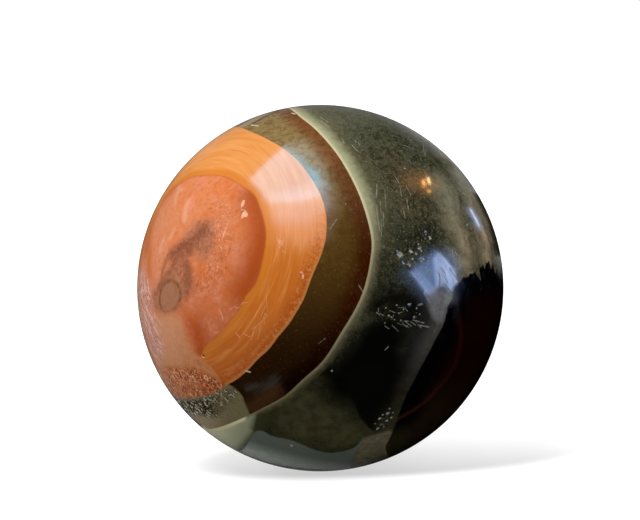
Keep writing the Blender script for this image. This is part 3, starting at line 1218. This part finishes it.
tree.links.new(seen_glow.outputs[0], shine.inputs["Strength"])
both = tree.nodes.new("ShaderNodeAddShader")
tree.links.new(matte.outputs[0], both.inputs[0])
tree.links.new(shine.outputs[0], both.inputs[1])
out = tree.nodes.new("ShaderNodeOutputMaterial")
tree.links.new(both.outputs[0], out.inputs["Surface"])
floor.data.materials.append(paper)
print(f"the floor lies {-low.z / MM:.0f} mm below the ball's centre")

# %% [markdown]
# The room is the world round the scene. It is plain white to the camera and behind
# anything clear. It lights the stone softly from all sides, at about a quarter of white,
# and to the polish it is almost dark.

# %% The room
AMBIENT = 0.28
world = bpy.data.worlds.new("white room")
bpy.context.scene.world = world
world.use_nodes = True
tree = world.node_tree
tree.nodes.clear()
white = tree.nodes.new("ShaderNodeBackground")
white.inputs["Color"].default_value = (1, 1, 1, 1)
soft = tree.nodes.new("ShaderNodeBackground")
soft.inputs["Color"].default_value = (1, 1, 1, 1)
soft.inputs["Strength"].default_value = AMBIENT
dark = tree.nodes.new("ShaderNodeBackground")
dark.inputs["Color"].default_value = (0, 0, 0, 1)
path = tree.nodes.new("ShaderNodeLightPath")
soft_or_dark = tree.nodes.new("ShaderNodeMixShader")
tree.links.new(path.outputs["Is Glossy Ray"], soft_or_dark.inputs["Fac"])
tree.links.new(soft.outputs[0], soft_or_dark.inputs[1])
tree.links.new(dark.outputs[0], soft_or_dark.inputs[2])
room = tree.nodes.new("ShaderNodeMixShader")
tree.links.new(rays_that_see(tree, DIM_ROOM), room.inputs["Fac"])
tree.links.new(soft_or_dark.outputs[0], room.inputs[1])
tree.links.new(white.outputs[0], room.inputs[2])
out = tree.nodes.new("ShaderNodeOutputWorld")
tree.links.new(room.outputs[0], out.inputs["Surface"])
world.cycles.sampling_method = "NONE"
print(f"the room lights the stone at {AMBIENT} of white, and the polish sees {DIM_ROOM} of it")

# %% [markdown]
# Two kinds of light stand round the ball. Soft lamps give it its shape and its shadow:
# they are large, plain and hidden from the polish. Bright panels are the windows that
# the polish mirrors, and light nothing else. The corners of each pane are listed where
# the ball shows them. The line of sight through each point of a panel, turned back by the
# polish, finds where that point has to hang.

# %% Lamps
def lamp(name, turn, lift, distance, size, power, casts_shadow=False):
    """A soft square lamp that faces the ball."""
    place = Vector(direction(turn, lift)) * distance
    facing_ball = place.to_track_quat("Z", "Y").to_euler()
    bpy.ops.object.light_add(type="AREA", location=place, rotation=facing_ball)
    made = bpy.context.object
    made.name = name
    made.data.size = size
    made.data.energy = power
    made.data.cycles.cast_shadow = casts_shadow
    made.visible_glossy = False
    return made


lamp("overhead window light", -52, 60, 1.1, 0.50, 8.4, casts_shadow=True)
lamp("low light from the left", -80, 33, 1.2, 0.30, 2.6)
lamp("light behind the left edge", -118, 20, 1.2, 0.40, 2.6)
lamp("fill from the right", 66, 40, 1.2, 0.90, 2.6)

# %% [markdown]
# A window seen in polished stone has soft edges, and its brightness isn't even: a pane
# next to the frame is dimmer, and the far end fades. So each panel is a fine grid, and
# its points are painted like a stencil, with the same patches as the stone itself: each
# patch gives a colour that fades out over a soft width, and where patches overlap their
# light adds up.

# %% How a window is hung
PANEL_STEPS = 110
PANEL_MARGIN = 14
WINDOW_DISTANCE = 1.5


def mirrored(points):
    """Where the lines of sight go once the ball has turned them back, with where they start."""
    at = on_ball(points)
    sight = unit(at * BALL_RADIUS - eye)
    return at * BALL_RADIUS, sight - 2 * (sight * at).sum(1, keepdims=True) * at


def window(name, *panes, distance=WINDOW_DISTANCE, along_edge=False):
    """A panel that only the polish sees. Each pane: colour, strength, soft width in mm, points."""
    corners = np.array([point for pane in panes for point in pane[3]], float)
    left_top, right_bottom = corners.min(0) - PANEL_MARGIN, corners.max(0) + PANEL_MARGIN
    bpy.ops.object.select_all(action="DESELECT")
    bpy.ops.mesh.primitive_grid_add(x_subdivisions=PANEL_STEPS, y_subdivisions=PANEL_STEPS, size=1)
    panel = bpy.context.object
    panel.name = name
    share = read(panel.data.vertices, "co", 3)[:, :2] + 0.5
    seen = left_top + share * (right_bottom - left_top)
    starts, ways = mirrored(seen)
    facing = unit(ways.mean(0))
    reach = np.full(len(ways), distance) if along_edge else (distance - starts @ facing) / (ways @ facing)
    panel.data.vertices.foreach_set("co", (starts + ways * reach[:, None]).ravel())
    where = on_ball(seen)
    light = np.zeros((len(where), 4))
    for colour, strength, soft, points in panes:
        inside = strokes((soft, points)) if along_edge else patch(points, smooth=False)
        across = np.clip(inside(where) / soft + 0.5, 0, 1)
        light[:, :3] += strength * (across ** 2 * (3 - 2 * across))[:, None] * np.array(colour)
    painted = panel.data.attributes.new("light", "FLOAT_COLOR", "POINT")
    painted.data.foreach_set("color", light.ravel())
    panel.visible_camera = panel.visible_diffuse = panel.visible_shadow = False
    glass = bpy.data.materials.new(name)
    glass.use_nodes = True
    glass.node_tree.nodes.clear()
    paint_on_it = glass.node_tree.nodes.new("ShaderNodeAttribute")
    paint_on_it.attribute_name = "light"
    glow = glass.node_tree.nodes.new("ShaderNodeEmission")
    glass.node_tree.links.new(paint_on_it.outputs["Color"], glow.inputs["Color"])
    out = glass.node_tree.nodes.new("ShaderNodeOutputMaterial")
    glass.node_tree.links.new(glow.outputs[0], out.inputs["Surface"])
    panel.data.materials.append(glass)
    print(f"{name}: {len(panes)} panes, {distance} m away")


print("the ball's middle mirrors what lies towards", mirrored([BALL_SEEN_AT])[1].round(2))

# %% [markdown]
# The ball shows a tall window over the ochre, a smaller one with thin panes over the green
# ground, a slit of light at its right and a small lamp. At its rim a polished ball mirrors
# most, and what it mirrors there lies behind it. So the pale walls behind are painted in
# strokes along the rim, and hang at one distance all round. They leave out the lower
# right, where the dark eye is black up to its edge.

# %% Windows
SKY, PALE_SKY, HAZE = (0.20, 0.74, 1.10), (0.74, 0.92, 1.0), (1.0, 0.66, 0.62)
DAYLIGHT, WARM_DAYLIGHT = (0.80, 0.90, 1.0), (1.0, 0.75, 0.5)
BLUE, BRIGHT_BLUE = (0.26, 0.46, 1.0), (0.48, 0.62, 1.0)
LAMPLIGHT, PALE_LAMPLIGHT = (1.0, 0.40, 0.10), (1.0, 0.66, 0.30)
WALL, WARM_WALL = (1.0, 1.0, 1.0), (1.0, 0.72, 0.55)
WALL_DISTANCE = 2.5
window(
    "sky window",
    (SKY, 5.9, 1.4, [(250, 180), (284, 147), (301, 157), (317, 176), (320, 197), (296, 202), (268, 202)]),
    (SKY, 3.0, 3.2, [(268, 196), (324, 184), (325, 206), (308, 224), (276, 222)]),
    (HAZE, 2.6, 5.0, [(268, 204), (322, 186), (334, 200), (326, 236), (306, 246), (276, 240)]),
    (PALE_SKY, 2.2, 3.0, [(286, 146), (302, 142), (320, 158), (330, 188), (318, 186), (304, 166)]),
    (SKY, 3.4, 1.8, [(309, 168), (320, 170), (322, 184), (311, 184)]),
    (PALE_SKY, 1.6, 2.4, [(316, 178), (328, 182), (331, 206), (324, 214), (318, 196)]))
window(
    "side window",
    (BLUE, 1.9, 4.0, [(402, 274), (426, 256), (452, 254), (458, 272), (442, 288), (424, 296)]),
    (BLUE, 3.3, 0.9, [(411, 271), (436, 249), (437, 288), (431, 292), (425, 292)]),
    (BRIGHT_BLUE, 3.4, 0.8, [(413, 271), (418, 269), (434, 287), (433, 294), (427, 293)]),
    (BRIGHT_BLUE, 9.0, 0.25, [(410, 272), (411.5, 271.2), (429, 293), (427.5, 293.8)]),
    (BRIGHT_BLUE, 7.6, 0.7, [(433, 259), (437, 252), (446, 260), (454, 271), (457, 281), (450, 293),
                             (444, 285), (436, 288)]),
    (BRIGHT_BLUE, 7.0, 0.25, [(438, 253), (439.5, 252.5), (455, 271), (458, 283), (456, 285), (452, 272)]),
    (BRIGHT_BLUE, 5.0, 0.25, [(441, 264), (442.5, 263.5), (452, 280), (451, 289), (449.5, 289),
                              (448.5, 279)]),
    (BRIGHT_BLUE, 4.0, 0.25, [(436, 262), (437, 261.5), (447, 283), (446, 284)]),
    (BRIGHT_BLUE, 1.5, 2.4, [(444, 248), (454, 252), (464, 264), (458, 270), (450, 260)]),
    (DAYLIGHT, 0.9, 1.6, [(444, 290), (456, 290), (457, 302), (446, 304)]),
    (BLUE, 0.25, 1.4, [(456, 282), (462, 280), (465, 288), (460, 294), (454, 293)]))
window(
    "far slit",
    (DAYLIGHT, 4.2, 0.40, [(469.5, 209), (471, 209), (480, 226), (478.5, 227)]),
    (BLUE, 1.3, 1.8, [(465, 210), (472, 207), (483, 226), (477, 230)]),
    (WARM_DAYLIGHT, 0.8, 0.8, [(480, 226), (482, 226), (488, 241), (485, 242)]))
window(
    "table lamp",
    (LAMPLIGHT, 1.8, 4.6, [(402, 178), (424, 173), (440, 184), (428, 193), (408, 188)]),
    (LAMPLIGHT, 22, 0.5, [(422, 182), (424, 179), (425.5, 184), (424, 188)]),
    (PALE_LAMPLIGHT, 30, 0.45, [(427.5, 178), (429, 178), (430.5, 183), (428.5, 184)]),
    (LAMPLIGHT, 15, 0.5, [(427.5, 190), (430.5, 190), (430.5, 192.5), (427.5, 192.5)]))
window(
    "pale walls behind",
    (WALL, 0.42, 7.0, [(496, 246), (491, 226), (484, 210)]),
    (WALL, 0.20, 11.0, [(477, 197), (452, 164), (424, 139)]),
    (WALL, 0.16, 8.0, [(424, 139), (352, 109), (273, 113), (204, 149)]),
    (WARM_WALL, 0.14, 8.0, [(204, 149), (156, 211), (139, 288), (156, 365)]),
    (WALL, 0.10, 9.0, [(156, 365), (204, 427), (273, 463), (336, 468.5)]),
    distance=WALL_DISTANCE, along_edge=True)

# %% [markdown]
# Colours are to come out as they are written, so the view transform is Standard.

bpy.context.scene.view_settings.view_transform = "Standard"
